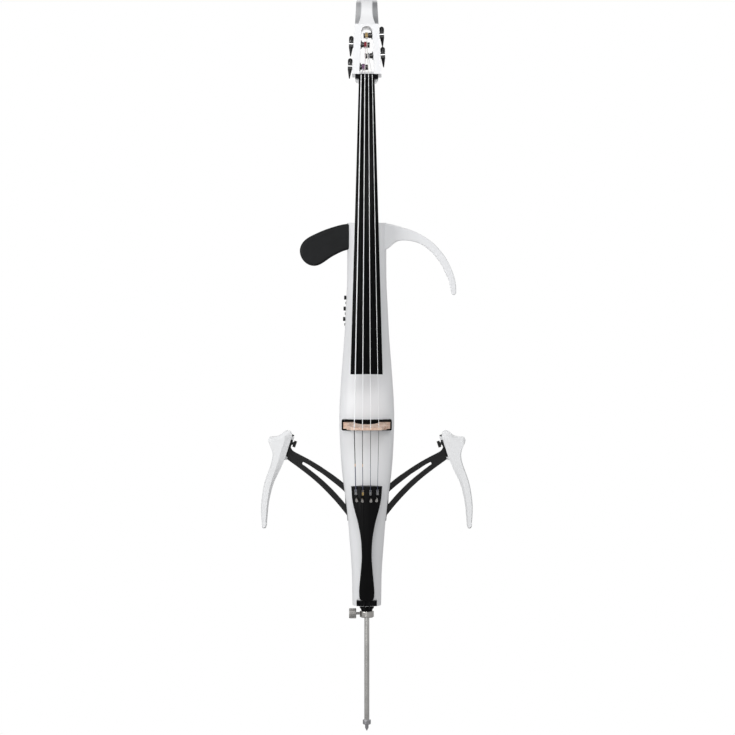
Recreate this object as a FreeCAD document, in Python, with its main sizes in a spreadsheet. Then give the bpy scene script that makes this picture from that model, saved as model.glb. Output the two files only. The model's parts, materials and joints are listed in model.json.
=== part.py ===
import FreeCAD, Part
import math
import os
from FreeCAD import Placement, Rotation, Vector

# Electric cello with a slim solid body, folding knee rests and a sliding endpin.
# Frame: X to the player's view right, -Y towards the bow (front), +Z up, millimetres.
# The origin is the point of the endpin.

doc = FreeCAD.newDocument("Cello")
sheet = doc.addObject("Spreadsheet::Sheet", "Dimensions")

DIMENSIONS = [
    ("body_half_width", 54.0, "half width of the body below the bridge"),
    ("body_half_depth", 28.0, "centre plane of the body to its front crown"),
    ("body_back", 20.0, "centre plane of the body to its flat back"),
    ("body_bottom", 251.0, "height of the bottom end of the body"),
    ("body_top", 1004.0, "height of the top end of the body"),
    ("heel_half_width", 21.0, "half width of the neck heel"),
    ("board_length", 573.6, "fingerboard length"),
    ("board_nut_width", 30.4, "fingerboard width at the nut"),
    ("board_end_width", 62.2, "fingerboard width at its free end"),
    ("board_camber", 62.0, "radius of the fingerboard's playing face"),
    ("nut_width", 44.8, "width of the nut"),
    ("nut_height", 9.0, "length of the nut along the neck"),
    ("neck_half_width", 14.8, "half width of the neck at the nut"),
    ("neck_depth", 19.0, "depth of the neck behind the fingerboard"),
    ("window_radius", 10.85, "radius of the arch over the pegbox window"),
    ("post_radius", 5.3, "string post radius"),
    ("post_waist", 4.0, "string post radius under the winding"),
    ("post_flange", 8.0, "string post flange radius"),
    ("post_journal", 2.5, "string post bearing radius"),
    ("wheel_radius", 3.0, "worm wheel pitch radius"),
    ("worm_radius", 1.6, "worm pitch radius"),
    ("tuner_knob_radius", 4.5, "tuner knob radius"),
    ("bridge_height", 82.0, "bridge height at the middle"),
    ("bridge_foot_thickness", 13.5, "bridge thickness at the feet"),
    ("bridge_base_width", 98.0, "bridge base width"),
    ("bridge_base_height", 21.0, "bridge base height"),
    ("tailpiece_thickness", 13.0, "tailpiece thickness at its crown"),
    ("tailpiece_camber", 50.0, "radius of the tailpiece's front"),
    ("fine_screw_head", 2.7, "fine tuner screw head radius"),
    ("fine_screw_shaft", 1.5, "fine tuner screw shaft radius"),
    ("rod_radius", 5.0, "endpin rod radius"),
    ("rod_top", 350.0, "height of the endpin rod's inner end"),
    ("endpin_fit", 0.05, "running clearance around the endpin rod"),
    ("collar_radius", 14.0, "endpin collar radius"),
    ("clamp_knob_radius", 10.0, "endpin clamp screw knob radius"),
    ("clamp_shaft_radius", 2.5, "endpin clamp screw radius"),
    ("tube_radius", 9.0, "endpin tube outer radius"),
    ("tube_bore", 6.0, "endpin tube inner radius"),
    ("arm_plate", 6.0, "knee arm plate thickness"),
    ("arm_barrel", 4.5, "knee arm barrel radius at the body"),
    ("claw_barrel", 5.0, "knee arm barrel radius at the claw"),
    ("hinge_pin", 2.5, "claw hinge pin radius"),
    ("body_pin", 2.0, "body hinge pin radius"),
    ("hinge_fit", 0.06, "running clearance in the hinges"),
    ("claw_depth", 23.0, "knee claw thickness"),
    ("wing_depth", 22.0, "thickness of the upper arm and upper shell"),
    ("control_knob_radius", 4.0, "control knob radius"),
    ("button_radius", 2.5, "push button radius"),
    ("jack_line_radius", 3.2, "line output jack bore radius"),
    ("jack_small_radius", 1.8, "headphone and aux jack bore radius"),
    ("cell_radius", 7.1, "battery cell radius"),
    ("string_a", 0.45, "A string radius"),
    ("string_d", 0.55, "D string radius"),
    ("string_g", 0.7, "G string radius"),
    ("string_c", 0.9, "C string radius"),
]

for row, (alias, value, note) in enumerate(DIMENSIONS, start=1):
    sheet.set("A%d" % row, note)
    sheet.set("B%d" % row, str(value))
    sheet.setAlias("B%d" % row, alias)
doc.recompute()

X_AXIS = Vector(1, 0, 0)
Y_AXIS = Vector(0, 1, 0)
Z_AXIS = Vector(0, 0, 1)
HERE = Placement()
UPRIGHT = Rotation(X_AXIS, 90)
SIDEWAYS = Rotation(Vector(1, 1, 1), 120)

nodes = []


def size(alias):
    return float(sheet.get(alias))


def bind(feature, prop, value):
    """Sets a property to a number, or ties it to a formula of the sheet."""
    if isinstance(value, str):
        feature.setExpression(prop, value)
    else:
        setattr(feature, prop, value)


def cell(alias, factor=1.0, extra=0.0):
    """The formula for a cell of the sheet, scaled and offset."""
    return "Dimensions.%s * %s + %s" % (alias, factor, extra)


def node(feature, label):
    feature.Label = label
    nodes.append(feature)
    return feature


def cylinder(name, radius, height, at, axis=Z_AXIS, frame=HERE):
    feature = doc.addObject("Part::Cylinder", name)
    bind(feature, "Radius", radius)
    bind(feature, "Height", height)
    feature.Placement = frame.multiply(Placement(Vector(*at), Rotation(Z_AXIS, Vector(axis))))
    return feature


def cone(name, radius_a, radius_b, height, at, axis=Z_AXIS, frame=HERE):
    feature = doc.addObject("Part::Cone", name)
    bind(feature, "Radius1", radius_a)
    bind(feature, "Radius2", radius_b)
    bind(feature, "Height", height)
    feature.Placement = frame.multiply(Placement(Vector(*at), Rotation(Z_AXIS, Vector(axis))))
    return feature


def sphere(name, radius, at, frame=HERE):
    feature = doc.addObject("Part::Sphere", name)
    bind(feature, "Radius", radius)
    feature.Placement = frame.multiply(Placement(Vector(*at), Rotation()))
    return feature


def torus(name, ring, tube, at, axis, frame=HERE):
    feature = doc.addObject("Part::Torus", name)
    bind(feature, "Radius1", ring)
    bind(feature, "Radius2", tube)
    feature.Placement = frame.multiply(Placement(Vector(*at), Rotation(Z_AXIS, Vector(axis))))
    return feature


def box(name, low, high, frame=HERE):
    """A block between two corners."""
    feature = doc.addObject("Part::Box", name)
    bind(feature, "Length", high[0] - low[0])
    bind(feature, "Width", high[1] - low[1])
    bind(feature, "Height", high[2] - low[2])
    feature.Placement = frame.multiply(Placement(Vector(*low), Rotation()))
    return feature


def tapered_block(name, bottom, top, frame=HERE):
    """A block whose ends are rectangles: each end is (z, half width, y front, y back)."""
    feature = doc.addObject("Part::Wedge", name)
    feature.Ymin = bottom[0]
    feature.Ymax = top[0]
    bind(feature, "Xmin", "-(%s)" % bottom[1] if isinstance(bottom[1], str) else -bottom[1])
    bind(feature, "Xmax", bottom[1])
    bind(feature, "X2min", "-(%s)" % top[1] if isinstance(top[1], str) else -top[1])
    bind(feature, "X2max", top[1])
    feature.Zmin = -bottom[3]
    feature.Zmax = -bottom[2]
    feature.Z2min = -top[3]
    feature.Z2max = -top[2]
    feature.Placement = frame.multiply(Placement(Vector(), UPRIGHT))
    return feature


def cut(name, base, *tools):
    tool = tools[0] if len(tools) == 1 else fuse(name + "_tools", *tools)
    feature = doc.addObject("Part::Cut", name)
    feature.Base = base
    feature.Tool = tool
    return feature


def fuse(name, *shapes):
    feature = doc.addObject("Part::MultiFuse", name)
    feature.Shapes = list(shapes)
    return feature


def common(name, *shapes):
    feature = doc.addObject("Part::MultiCommon", name)
    feature.Shapes = list(shapes)
    return feature


def group(name, *shapes):
    feature = doc.addObject("Part::Compound", name)
    feature.Links = list(shapes)
    return feature


def mirror(name, source):
    """The mirror image of a left-hand piece in the middle plane."""
    feature = doc.addObject("Part::Mirroring", name)
    feature.Source = source
    feature.Normal = X_AXIS
    feature.Base = Vector()
    return feature


def outline(name, runs, rotation=Rotation(), frame=HERE, offset=Vector()):
    """A closed sketch: a run of two points is a line, a longer run a smooth curve."""
    sketch = doc.addObject("Sketcher::SketchObject", name)
    sketch.Placement = frame.multiply(Placement(offset, rotation))
    for run in runs:
        points = [Vector(x, y, 0) for x, y in run]
        if len(points) == 2:
            sketch.addGeometry(Part.LineSegment(points[0], points[1]), False)
        else:
            curve = Part.BSplineCurve()
            curve.interpolate(points)
            sketch.addGeometry(curve, False)
    return sketch


def polygon(points):
    return [[a, b] for a, b in zip(points, points[1:] + points[:1])]


def extrude(name, sketch, direction, ahead, behind=0.0):
    feature = doc.addObject("Part::Extrusion", name)
    feature.Base = sketch
    feature.DirMode = "Custom"
    feature.Dir = direction
    bind(feature, "LengthFwd", ahead)
    bind(feature, "LengthRev", behind)
    feature.Solid = True
    return feature


def rounded(name, base, radius, chosen, kind="Part::Fillet"):
    """Rounds the edges of a finished shape that the test picks."""
    doc.recompute()
    picked = [i for i, edge in enumerate(base.Shape.Edges, start=1) if chosen(edge)]
    feature = doc.addObject(kind, name)
    feature.Base = base
    feature.Edges = [(i, radius, radius) for i in picked]
    return feature


def along_y(edge):
    box_of = edge.BoundBox
    return box_of.YLength > 1 and box_of.XLength < 0.01 and box_of.ZLength < 0.01


def flat_in_y(edge):
    return edge.BoundBox.YLength < 0.01


def wire_path(name, points, radius):
    """A round cord along straight stretches."""
    spine = doc.addObject("Part::Polygon", name + "_path")
    spine.Nodes = points
    spine.Close = False
    ring = doc.addObject("Part::Circle", name + "_ring")
    bind(ring, "Radius", radius)
    ring.Placement = Placement(points[0], Rotation(Z_AXIS, points[1] - points[0]))
    sweep = doc.addObject("Part::Sweep", name)
    sweep.Sections = [ring]
    sweep.Spine = (spine, ["Edge%d" % i for i in range(1, len(points))])
    sweep.Solid = True
    sweep.Frenet = False
    sweep.Transition = "Right corner"
    return sweep


# ---------------------------------------------------------------- body
# Elliptical sections: height, share of the half width, share of the half depth.
BODY_SECTIONS = [
    (251, 0.52, 0.86), (300, 0.537, 0.88), (340, 0.572, 0.90), (380, 0.628, 0.92),
    (430, 0.708, 0.94), (486, 0.838, 0.97), (535, 0.935, 0.985), (577, 0.98, 1.0),
    (616, 1.0, 1.0), (655, 0.982, 1.0), (695, 0.936, 1.0), (734, 0.882, 1.0),
    (773, 0.825, 1.0), (812, 0.783, 1.0), (852, 0.747, 0.99), (895, 0.715, 0.98),
    (950, 0.707, 0.97), (1004, 0.707, 0.96),
]

sections = []
for index, (height, width_share, depth_share) in enumerate(BODY_SECTIONS):
    ring = doc.addObject("Part::Ellipse", "body_section_%02d" % index)
    bind(ring, "MajorRadius", cell("body_half_width", width_share))
    bind(ring, "MinorRadius", cell("body_half_depth", depth_share))
    ring.Placement = Placement(Vector(0, 0, height), Rotation())
    sections.append(ring)
hull = doc.addObject("Part::Loft", "body_hull")
hull.Sections = sections
hull.Solid = True
hull.Ruled = False

back_trim = box("body_back_trim", (-90, size("body_back"), 200), (90, 70, 1050))
back_trim.setExpression("Placement.Base.y", cell("body_back"))
shaped = cut("body_shaped", hull, back_trim)

PANEL = ((-60, -2, 742), (-35.5, 14, 876))
heel_pocket = box("heel_pocket", (-21.1, -45, 867.9), (21.1, -7.9, 1010))
endpin_pocket = cylinder("endpin_pocket", cell("tube_radius"), 309, (0, 0, 250))
circuit_pocket = box("circuit_pocket", (-18.5, 1, 725), (18.5, 21, 900))
cover_recess = box("cover_recess", (-24, 17.5, 712), (24, 21, 913))
battery_pocket = box("battery_pocket", (-17, 1, 600), (17, 21, 690))
door_recess = box("door_recess", (-24, 17.5, 590), (24, 21, 700))
panel_pocket = box("panel_pocket", *PANEL)
panel_channel = box("panel_channel", (-36, -1, 746), (-18, 13, 872))
cable_channel = box("cable_channel", (-6, 3, 685), (6, 11, 730))

COVER_SCREWS = [(side * 21.2, height) for side in (-1, 1) for height in (722, 812, 903)]
screw_pockets = [
    cylinder("cover_screw_pocket_%d" % i, 1.25, 10, (x, 8, z), Y_AXIS)
    for i, (x, z) in enumerate(COVER_SCREWS)
]
body = cut(
    "body_cut", shaped, heel_pocket, endpin_pocket, circuit_pocket, cover_recess,
    battery_pocket, door_recess, panel_pocket, panel_channel, cable_channel, *screw_pockets
)
node(body, "body")

cover_plate = box("cover_plate", (-23.8, 17.6, 712.2), (23.8, 20, 912.8))
cover_holes = [
    cylinder("cover_hole_%d" % i, 2.3, 5, (x, 16, z), Y_AXIS) for i, (x, z) in enumerate(COVER_SCREWS)
]
node(cut("rear_cover_cut", cover_plate, *cover_holes), "rear_cover")

screws = []
for i, (x, z) in enumerate(COVER_SCREWS):
    head = cylinder("cover_screw_head_%d" % i, 2.2, 2.2, (x, 17.55, z), Y_AXIS)
    shank = cylinder("cover_screw_shank_%d" % i, 1.2, 9.5, (x, 8.2, z), Y_AXIS)
    slot = box("cover_screw_slot_%d" % i, (x - 1.7, 19.0, z - 0.3), (x + 1.7, 20, z + 0.3))
    screws.append(cut("cover_screw_%d" % i, fuse("cover_screw_body_%d" % i, head, shank), slot))
node(group("cover_screws_group", *screws), "cover_screws")

door = box("battery_door_plate", (-23.7, 17.8, 590.3), (23.7, 20.3, 699.7))
door_grip = box("battery_door_grip", (-8, 19.3, 684), (8, 21, 688))
node(cut("battery_door_cut", door, door_grip), "battery_door")

board = box("board_plate", (-17, 6, 730), (17, 7.6, 895))
chips = [
    box("board_chip", (-10, 7.5, 800), (8, 10, 818)),
    box("board_regulator", (-12, 7.5, 750), (-2, 11, 762)),
    cylinder("board_capacitor_a", 4, 8, (8, 7.5, 760), Y_AXIS),
    cylinder("board_capacitor_b", 4, 8, (8, 7.5, 775), Y_AXIS),
]
node(fuse("board_fused", board, *chips), "circuit_board")

cells = []
for i, x in enumerate((-8, 8)):
    can = cylinder("cell_can_%d" % i, cell("cell_radius"), 49, (x, 9.2, 620))
    button = cylinder("cell_button_%d" % i, 2.7, 1.5, (x, 9.2, 668.8))
    cells.append(fuse("cell_%d" % i, can, button))
node(group("battery_cells", *cells), "batteries")

# ---------------------------------------------------------------- side control panel
PANEL_Y = 6.0
KNOB_HEIGHTS = (857.5, 836.0, 815.5)
BUTTON_HEIGHTS = (847.0, 826.0, 805.0)
JACKS = [
    ("line", "jack_line_radius", 760.0),
    ("phones", "jack_small_radius", 776.0),
    ("aux", "jack_small_radius", 789.0),
]
PANEL_FACE = {857.5: 39.1, 836.0: 40.2, 815.5: 41.2, 847.0: 39.6, 826.0: 40.7, 805.0: 41.8}

panel_holes = []
for i, height in enumerate(KNOB_HEIGHTS):
    panel_holes.append(cylinder("knob_hole_%d" % i, 1.56, 12, (-46, PANEL_Y, height), X_AXIS))
for i, height in enumerate(BUTTON_HEIGHTS):
    panel_holes.append(
        cylinder("button_hole_%d" % i, cell("button_radius", 1, 0.06), 12, (-46, PANEL_Y, height), X_AXIS)
    )
jack_solids = []
for label, radius_name, height in JACKS:
    outer = size(radius_name) + 2.0
    panel_holes.append(cylinder("jack_hole_" + label, outer, 16, (-48, PANEL_Y, height), X_AXIS))
    sleeve = cylinder("jack_sleeve_" + label, outer, 15.5, (-41.5, PANEL_Y, height), X_AXIS)
    bore = cylinder("jack_bore_" + label, cell(radius_name), 14, (-42, PANEL_Y, height), X_AXIS)
    jack_solids.append(cut("jack_" + label, sleeve, bore))
panel = cut("panel_cut", common("panel_common", box("panel_blank", *PANEL), hull), *panel_holes)
node(panel, "control_panel")
node(group("jacks_group", *jack_solids), "output_jacks")

for i, height in enumerate(KNOB_HEIGHTS):
    face = PANEL_FACE[height]
    cap = cylinder("knob_cap_%d" % i, cell("control_knob_radius"), 4.4, (-face - 5.6, PANEL_Y, height), X_AXIS)
    stem = cylinder("knob_stem_%d" % i, 1.5, 12, (-face - 2, PANEL_Y, height), X_AXIS)
    mark = box(
        "knob_mark_%d" % i,
        (-face - 6, PANEL_Y - 0.4, height + 0.8),
        (-face - 5.2, PANEL_Y + 0.4, height + 4.5),
    )
    node(cut("knob_%d" % i, fuse("knob_body_%d" % i, cap, stem), mark), "control_knob_%d" % (i + 1))

for i, height in enumerate(BUTTON_HEIGHTS):
    face = PANEL_FACE[height]
    node(
        cylinder("button_%d" % i, cell("button_radius"), 7.0, (-face - 2.6, PANEL_Y, height), X_AXIS),
        "push_button_%d" % (i + 1),
    )

# ---------------------------------------------------------------- neck and head
# The neck frame starts at the nut, on the crown of the fingerboard, and leans back.
LEAN = -5.955
NECK = Placement(Vector(0, -37.3, 1283), Rotation(X_AXIS, LEAN))
BOARD_LENGTH = size("board_length")


def underside(z):
    """Depth of the fingerboard's flat underside at a point along the neck."""
    return 8.0 - 6.0 * z / BOARD_LENGTH


board_blank = tapered_block(
    "board_blank",
    (-BOARD_LENGTH, cell("board_end_width", 0.5), -2, underside(-BOARD_LENGTH)),
    (0, cell("board_nut_width", 0.5), -2, underside(0)),
    NECK,
)
camber = cylinder(
    "board_camber_face", cell("board_camber"), 600, (0, size("board_camber"), -590), frame=NECK
)
hollow = cylinder("board_hollow", 60, 270, (0, 67.5, -BOARD_LENGTH - 1), frame=NECK)
node(cut("fingerboard_cut", common("board_common", board_blank, camber), hollow), "fingerboard")

nut_blank = box("nut_blank", (-22.4, -2, 0.05), (22.4, 10, 9), NECK)
nut_blank.setExpression("Length", cell("nut_width"))
nut_blank.setExpression("Height", cell("nut_height", 1, -0.05))
nut_face = cylinder("nut_face", 63, 20, (0, 62, -5), frame=NECK)
node(common("nut_common", nut_blank, nut_face), "nut")

neck_rings = []
for i, (z, half_width, depth) in enumerate([(-4, 1.0, 1.0), (-24, 1.02, 1.0), (-160, 1.27, 1.12), (-278, 1.5, 1.3)]):
    ring = doc.addObject("Part::Ellipse", "neck_ring_%d" % i)
    bind(ring, "MajorRadius", cell("neck_depth", 1.1 * depth))
    bind(ring, "MinorRadius", cell("neck_half_width", half_width))
    ring.Placement = NECK.multiply(Placement(Vector(0, underside(z) - 2, z), Rotation(Z_AXIS, 90)))
    neck_rings.append(ring)
neck_loft = doc.addObject("Part::Loft", "neck_loft")
neck_loft.Sections = neck_rings
neck_loft.Solid = True
neck_loft.Ruled = False
heel_side = outline(
    "heel_side",
    polygon([(-75, 868), (-8, 868), (-8, 1003.9), (-24, 1003.9), (-31, 1012), (-60, 1012)]),
    SIDEWAYS,
)
heel = extrude("heel", heel_side, X_AXIS, cell("heel_half_width"), cell("heel_half_width"))
board_seat = tapered_block("board_seat", (-640, 80, -90, underside(-640)), (20, 80, -90, underside(20)), NECK)
node(cut("neck_cut", fuse("neck_fused", neck_loft, heel), board_seat), "neck")

pegbox_blank = tapered_block("pegbox_blank", (9.05, 28.5, 2, 42), (107, 23.55, 2, 38.1), NECK)
root_block = box("pegbox_root", (-22.4, 10.05, -4), (22.4, 38, 20), NECK)
shoulders = rounded(
    "pegbox_shoulders", root_block, 7.0,
    lambda edge: edge.BoundBox.YLength > 25 and edge.CenterOfMass.z < 1283,
)
window = tapered_block("window_slot", (14, 14.5, -10, 60), (92, 10.85, -10, 60), NECK)
arch = cylinder("window_arch", cell("window_radius"), 80, (0, -10, 92), Y_AXIS, NECK)
window_sill = tapered_block("window_sill", (9.0, 14.0, -10, 2.9), (14.2, 14.5, -10, 6.0), NECK)

WALL_SLOPE = 2.92
POST_Y = 16.0
TUNERS = [
    ("d", 1, 87.9, 24.5, -0.5, 17.0),
    ("g", -1, 69.5, 25.4, -2.5, 17.2),
    ("a", 1, 47.9, 26.5, 3.0, 16.5),
    ("c", -1, 25.8, 27.6, -6.0, 16.2),
]


def tuner_frame(side, post_z, wall):
    """Origin on the pegbox wall at the post's axis, X out of the wall, Z up along it."""
    turn = Rotation(Y_AXIS, -WALL_SLOPE * side)
    if side < 0:
        turn = turn.multiply(Rotation(Z_AXIS, 180))
    return NECK.multiply(Placement(Vector(side * wall, POST_Y, post_z), turn))


post_holes = []
for name, side, post_z, wall, winding_x, barrel in TUNERS:
    post_holes.append(
        cylinder(
            "post_hole_" + name, cell("post_journal", 1, 0.06), 17, (-15.5, 0, 0), X_AXIS,
            tuner_frame(side, post_z, wall),
        )
    )
pegbox_solid = fuse("pegbox_solid", pegbox_blank, shoulders)
node(cut("pegbox_cut", pegbox_solid, window, arch, window_sill, *post_holes), "pegbox")

# The stylised scroll: a raised rib with waisted sides between two recessed cheeks.
rib_side = outline(
    "rib_side",
    [
        [(2, 107.1), (0.5, 122), (0.5, 136), (3.5, 148), (11, 157), (21, 160.5), (31, 158), (38, 149), (40, 136)],
        [(40, 136), (38, 107.1)],
        [(38, 107.1), (2, 107.1)],
    ],
    SIDEWAYS, NECK,
)
rib_slab = extrude("rib_slab", rib_side, NECK.Rotation.multVec(X_AXIS), 25, 25)
rib_front = outline(
    "rib_front",
    [
        [(-17.2, 106), (17.2, 106)],
        [(17.2, 106), (13.4, 115), (10.8, 128), (10, 140), (10.8, 150), (12.5, 162)],
        [(12.5, 162), (-12.5, 162)],
        [(-12.5, 162), (-10.8, 150), (-10, 140), (-10.8, 128), (-13.4, 115), (-17.2, 106)],
    ],
    UPRIGHT, NECK,
)
rib_mask = extrude("rib_mask", rib_front, NECK.Rotation.multVec(Y_AXIS), 60, 20)
cheek_side = outline(
    "cheek_side",
    [
        [(6, 107.1), (11, 122), (12, 138), (14.5, 150), (21, 157.2), (30, 155.2), (36, 147), (38, 136)],
        [(38, 136), (38, 107.1)],
        [(38, 107.1), (6, 107.1)],
    ],
    SIDEWAYS, NECK,
)
cheek_slab = extrude("cheek_slab", cheek_side, NECK.Rotation.multVec(X_AXIS), 25, 25)
cheek_front = outline(
    "cheek_front",
    [
        [(-23.0, 106), (23.0, 106)],
        [(23.0, 106), (20.4, 154)],
        [(20.4, 154), (18.6, 158.6), (13, 160)],
        [(13, 160), (-13, 160)],
        [(-13, 160), (-18.6, 158.6), (-20.4, 154)],
        [(-20.4, 154), (-23.0, 106)],
    ],
    UPRIGHT, NECK,
)
cheek_mask = extrude("cheek_mask", cheek_front, NECK.Rotation.multVec(Y_AXIS), 60, 20)
scroll = fuse(
    "scroll_fused",
    common("scroll_rib", rib_slab, rib_mask),
    common("scroll_cheeks", cheek_slab, cheek_mask),
)
node(scroll, "scroll")

# ---------------------------------------------------------------- tuners
WORM_OFFSET = 4.75
WORM_OUT = 5.0
housings = []
for name, side, post_z, wall, winding_x, barrel in TUNERS:
    frame = tuner_frame(side, post_z, wall)
    worm_y = -WORM_OFFSET * side
    low_y = -8.0 if side > 0 else -5.0
    block = box("housing_block_" + name, (0.05, low_y, -6.5), (9.1, low_y + 13, 2.9), frame)
    spike = cone("housing_spike_" + name, 4.1, 0.9, 18, (WORM_OUT, worm_y * 0.5, -6.4), -Z_AXIS, frame)
    wheel_room = cylinder("wheel_room_" + name, cell("wheel_radius", 1, 0.35), 4.2, (2.9, 0, 0), X_AXIS, frame)
    post_way = cylinder("post_way_" + name, cell("post_journal", 1, 0.06), 4, (-0.5, 0, 0), X_AXIS, frame)
    worm_room = cylinder("worm_room_" + name, cell("worm_radius", 1, 0.35), 7.4, (WORM_OUT, worm_y, -4.9), Z_AXIS, frame)
    worm_way = cylinder("worm_way_" + name, 1.26, 5, (WORM_OUT, worm_y, 0), Z_AXIS, frame)
    housings.append(
        cut(
            "housing_" + name, fuse("housing_body_" + name, block, spike),
            wheel_room, post_way, worm_room, worm_way,
        )
    )

    ring = cylinder("tuner_ring_" + name, 3.9, 1.8, (WORM_OUT, worm_y, 3.2), Z_AXIS, frame)
    grip = cylinder("tuner_grip_" + name, cell("tuner_knob_radius"), 7.0, (WORM_OUT, worm_y, 4.9), Z_AXIS, frame)
    dome = sphere("tuner_dome_" + name, cell("tuner_knob_radius"), (WORM_OUT, worm_y, 10.7), frame)
    shaft = cylinder("tuner_shaft_" + name, 1.2, 6, (WORM_OUT, worm_y, -1.5), Z_AXIS, frame)
    worm = cylinder("tuner_worm_" + name, cell("worm_radius"), 6.6, (WORM_OUT, worm_y, -4.5), Z_AXIS, frame)
    node(fuse("tuner_knob_solid_" + name, ring, grip, dome, shaft, worm), "tuner_knob_" + name)

    wheel = cylinder("post_wheel_" + name, cell("wheel_radius"), 3.4, (3.3, 0, 0), X_AXIS, frame)
    journal = cylinder("post_journal_" + name, cell("post_journal"), 19.2, (-14.5, 0, 0), X_AXIS, frame)
    flange = cylinder("post_flange_" + name, cell("post_flange"), 1.8, (-15.8, 0, 0), X_AXIS, frame)
    drum = cylinder("post_drum_" + name, cell("post_radius"), barrel - 1.5, (-14 - barrel, 0, 0), X_AXIS, frame)
    waist_at = -(wall - side * winding_x)
    waist_ring = cylinder("waist_ring_" + name, 9, 7, (waist_at - 3.5, 0, 0), X_AXIS, frame)
    waist_core = cylinder("waist_core_" + name, cell("post_waist"), 8, (waist_at - 4, 0, 0), X_AXIS, frame)
    string_way = cylinder("string_way_" + name, 1.0, 20, (waist_at, -10, 0), Y_AXIS, frame)
    turned = cut("post_turned_" + name, drum, cut("waist_cutter_" + name, waist_ring, waist_core))
    post = cut("post_solid_" + name, fuse("post_body_" + name, wheel, journal, flange, turned), string_way)
    node(post, "tuner_post_" + name)
node(group("tuner_housing_group", *housings), "tuner_housings")

# ---------------------------------------------------------------- bridge
# The side towards the tailpiece is the steeper one, so the crest sits below the middle of the feet.
BRIDGE_Z = 609.0
BRIDGE_CREST = 2.3
CREST_DROP = 1.3
CREST_Z = BRIDGE_Z - CREST_DROP
FOOT_Y = -33.0
half_bridge = [
    [(0, 34), (9, 31.5), (18, 23), (22, 12), (24, 0)],
    [(24, 0), (46, 0)],
    [(46, 0), (45.5, 5), (40, 10.5), (36, 19), (35, 29), (37, 39), (38.5, 47), (37.5, 54.5)],
    [(37.5, 54.5), (33.5, 61), (30.8, 69), (29.6, 75.3)],
]
bridge_runs = []
for run in half_bridge:
    bridge_runs.append([(x, -h) for x, h in run])
    bridge_runs.append([(-x, -h) for x, h in run])
bridge_runs.append([(29.6, -75.3), (15, -80.3), (0, -82), (-15, -80.3), (-29.6, -75.3)])
bridge_sketch = outline("bridge_outline", bridge_runs, offset=Vector(0, FOOT_Y, BRIDGE_Z - 7))
bridge_slab = extrude("bridge_slab", bridge_sketch, Z_AXIS, 14)
bridge_taper = doc.addObject("Part::Wedge", "bridge_taper")
bridge_taper.Xmin, bridge_taper.Xmax = -50, 50
bridge_taper.X2min, bridge_taper.X2max = -50, 50
bridge_taper.Ymin, bridge_taper.Ymax = -1, 84
bind(bridge_taper, "Zmin", cell("bridge_foot_thickness", -0.5))
bind(bridge_taper, "Zmax", cell("bridge_foot_thickness", 0.5))
bridge_taper.Z2min, bridge_taper.Z2max = -CREST_DROP - BRIDGE_CREST, -CREST_DROP + BRIDGE_CREST
bridge_taper.Placement = Placement(Vector(0, FOOT_Y, BRIDGE_Z), Rotation(Z_AXIS, 180))
heart = cylinder("bridge_heart", 5.5, 14, (0, FOOT_Y - 50, BRIDGE_Z - 7))
eyes = [
    cylinder("bridge_eye_%d" % i, 6.0, 14, (x, FOOT_Y - 43, BRIDGE_Z - 7)) for i, x in enumerate((-25, 25))
]
node(cut("bridge_cut", common("bridge_common", bridge_slab, bridge_taper), heart, *eyes), "bridge")

base_blank = box("bridge_base_blank", (-49, -38, 599), (49, -5, 620))
base_blank.setExpression("Length", cell("bridge_base_width"))
base_blank.setExpression("Height", cell("bridge_base_height"))
base_corners = rounded("bridge_base_corners", base_blank, 3.0, along_y)
base_tray = box("bridge_base_tray", (-46.5, -39, 600.6), (46.5, -33, 617.5))
pickup_slots = [
    box("pickup_slot_%d" % i, (side - 12, -34, 604.2), (side + 12, -30.5, 614.2))
    for i, side in enumerate((-34, 34))
]
node(cut("bridge_base_cut", base_corners, hull, base_tray, *pickup_slots), "bridge_base")
pickups = [
    box("pickup_strip_%d" % i, (side - 11.8, -33.0, 604.4), (side + 11.8, -30.6, 614.0))
    for i, side in enumerate((-34, 34))
]
node(group("pickup_group", *pickups), "piezo_pickup")

# ---------------------------------------------------------------- tailpiece
TAIL_LEAN = 6.5
TAIL = Placement(Vector(0, -64, 490), Rotation(X_AXIS, TAIL_LEAN))
tail_right = [
    (30.3, 0), (29.1, -15.5), (28.2, -25), (26.4, -35), (24.1, -44.8), (18.6, -64.4), (14.4, -83.7),
    (11.4, -103), (10, -122.6), (9.7, -134), (10.9, -161.8), (12.7, -181.3), (14.5, -201), (15, -210),
]
tail_runs = [
    tail_right,
    [(15, -210), (14.8, -216), (14.2, -221), (12.8, -224.8), (10.2, -226.4), (0, -226.9),
     (-10.2, -226.4), (-12.8, -224.8), (-14.2, -221), (-14.8, -216), (-15, -210)],
    [(-x, z) for x, z in reversed(tail_right)],
    [(-30.3, 0), (0, 1.6), (30.3, 0)],
]
tail_outline = outline("tailpiece_outline", tail_runs, UPRIGHT, TAIL)
tail_slab = extrude(
    "tailpiece_slab", tail_outline, TAIL.Rotation.multVec(Y_AXIS), cell("tailpiece_thickness"), 2
)
tail_camber = cylinder("tailpiece_face", cell("tailpiece_camber"), 260, (0, 50, -240), frame=TAIL)

FINE_SCREW_TILT = 25.0
screw_out = Vector(
    0, -math.cos(math.radians(FINE_SCREW_TILT)), -math.sin(math.radians(FINE_SCREW_TILT))
)
STRING_TAIL_X = {"c": -21.0, "g": -7.4, "d": 7.4, "a": 21.0}
FINE_SCREW_X = {"c": -19.2, "g": -8.3, "d": 8.3, "a": 19.2}


def tail_crown(x):
    """Depth of the tailpiece's front face at a distance from its middle."""
    camber_radius = size("tailpiece_camber")
    return camber_radius - math.sqrt(camber_radius ** 2 - x ** 2)


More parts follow.
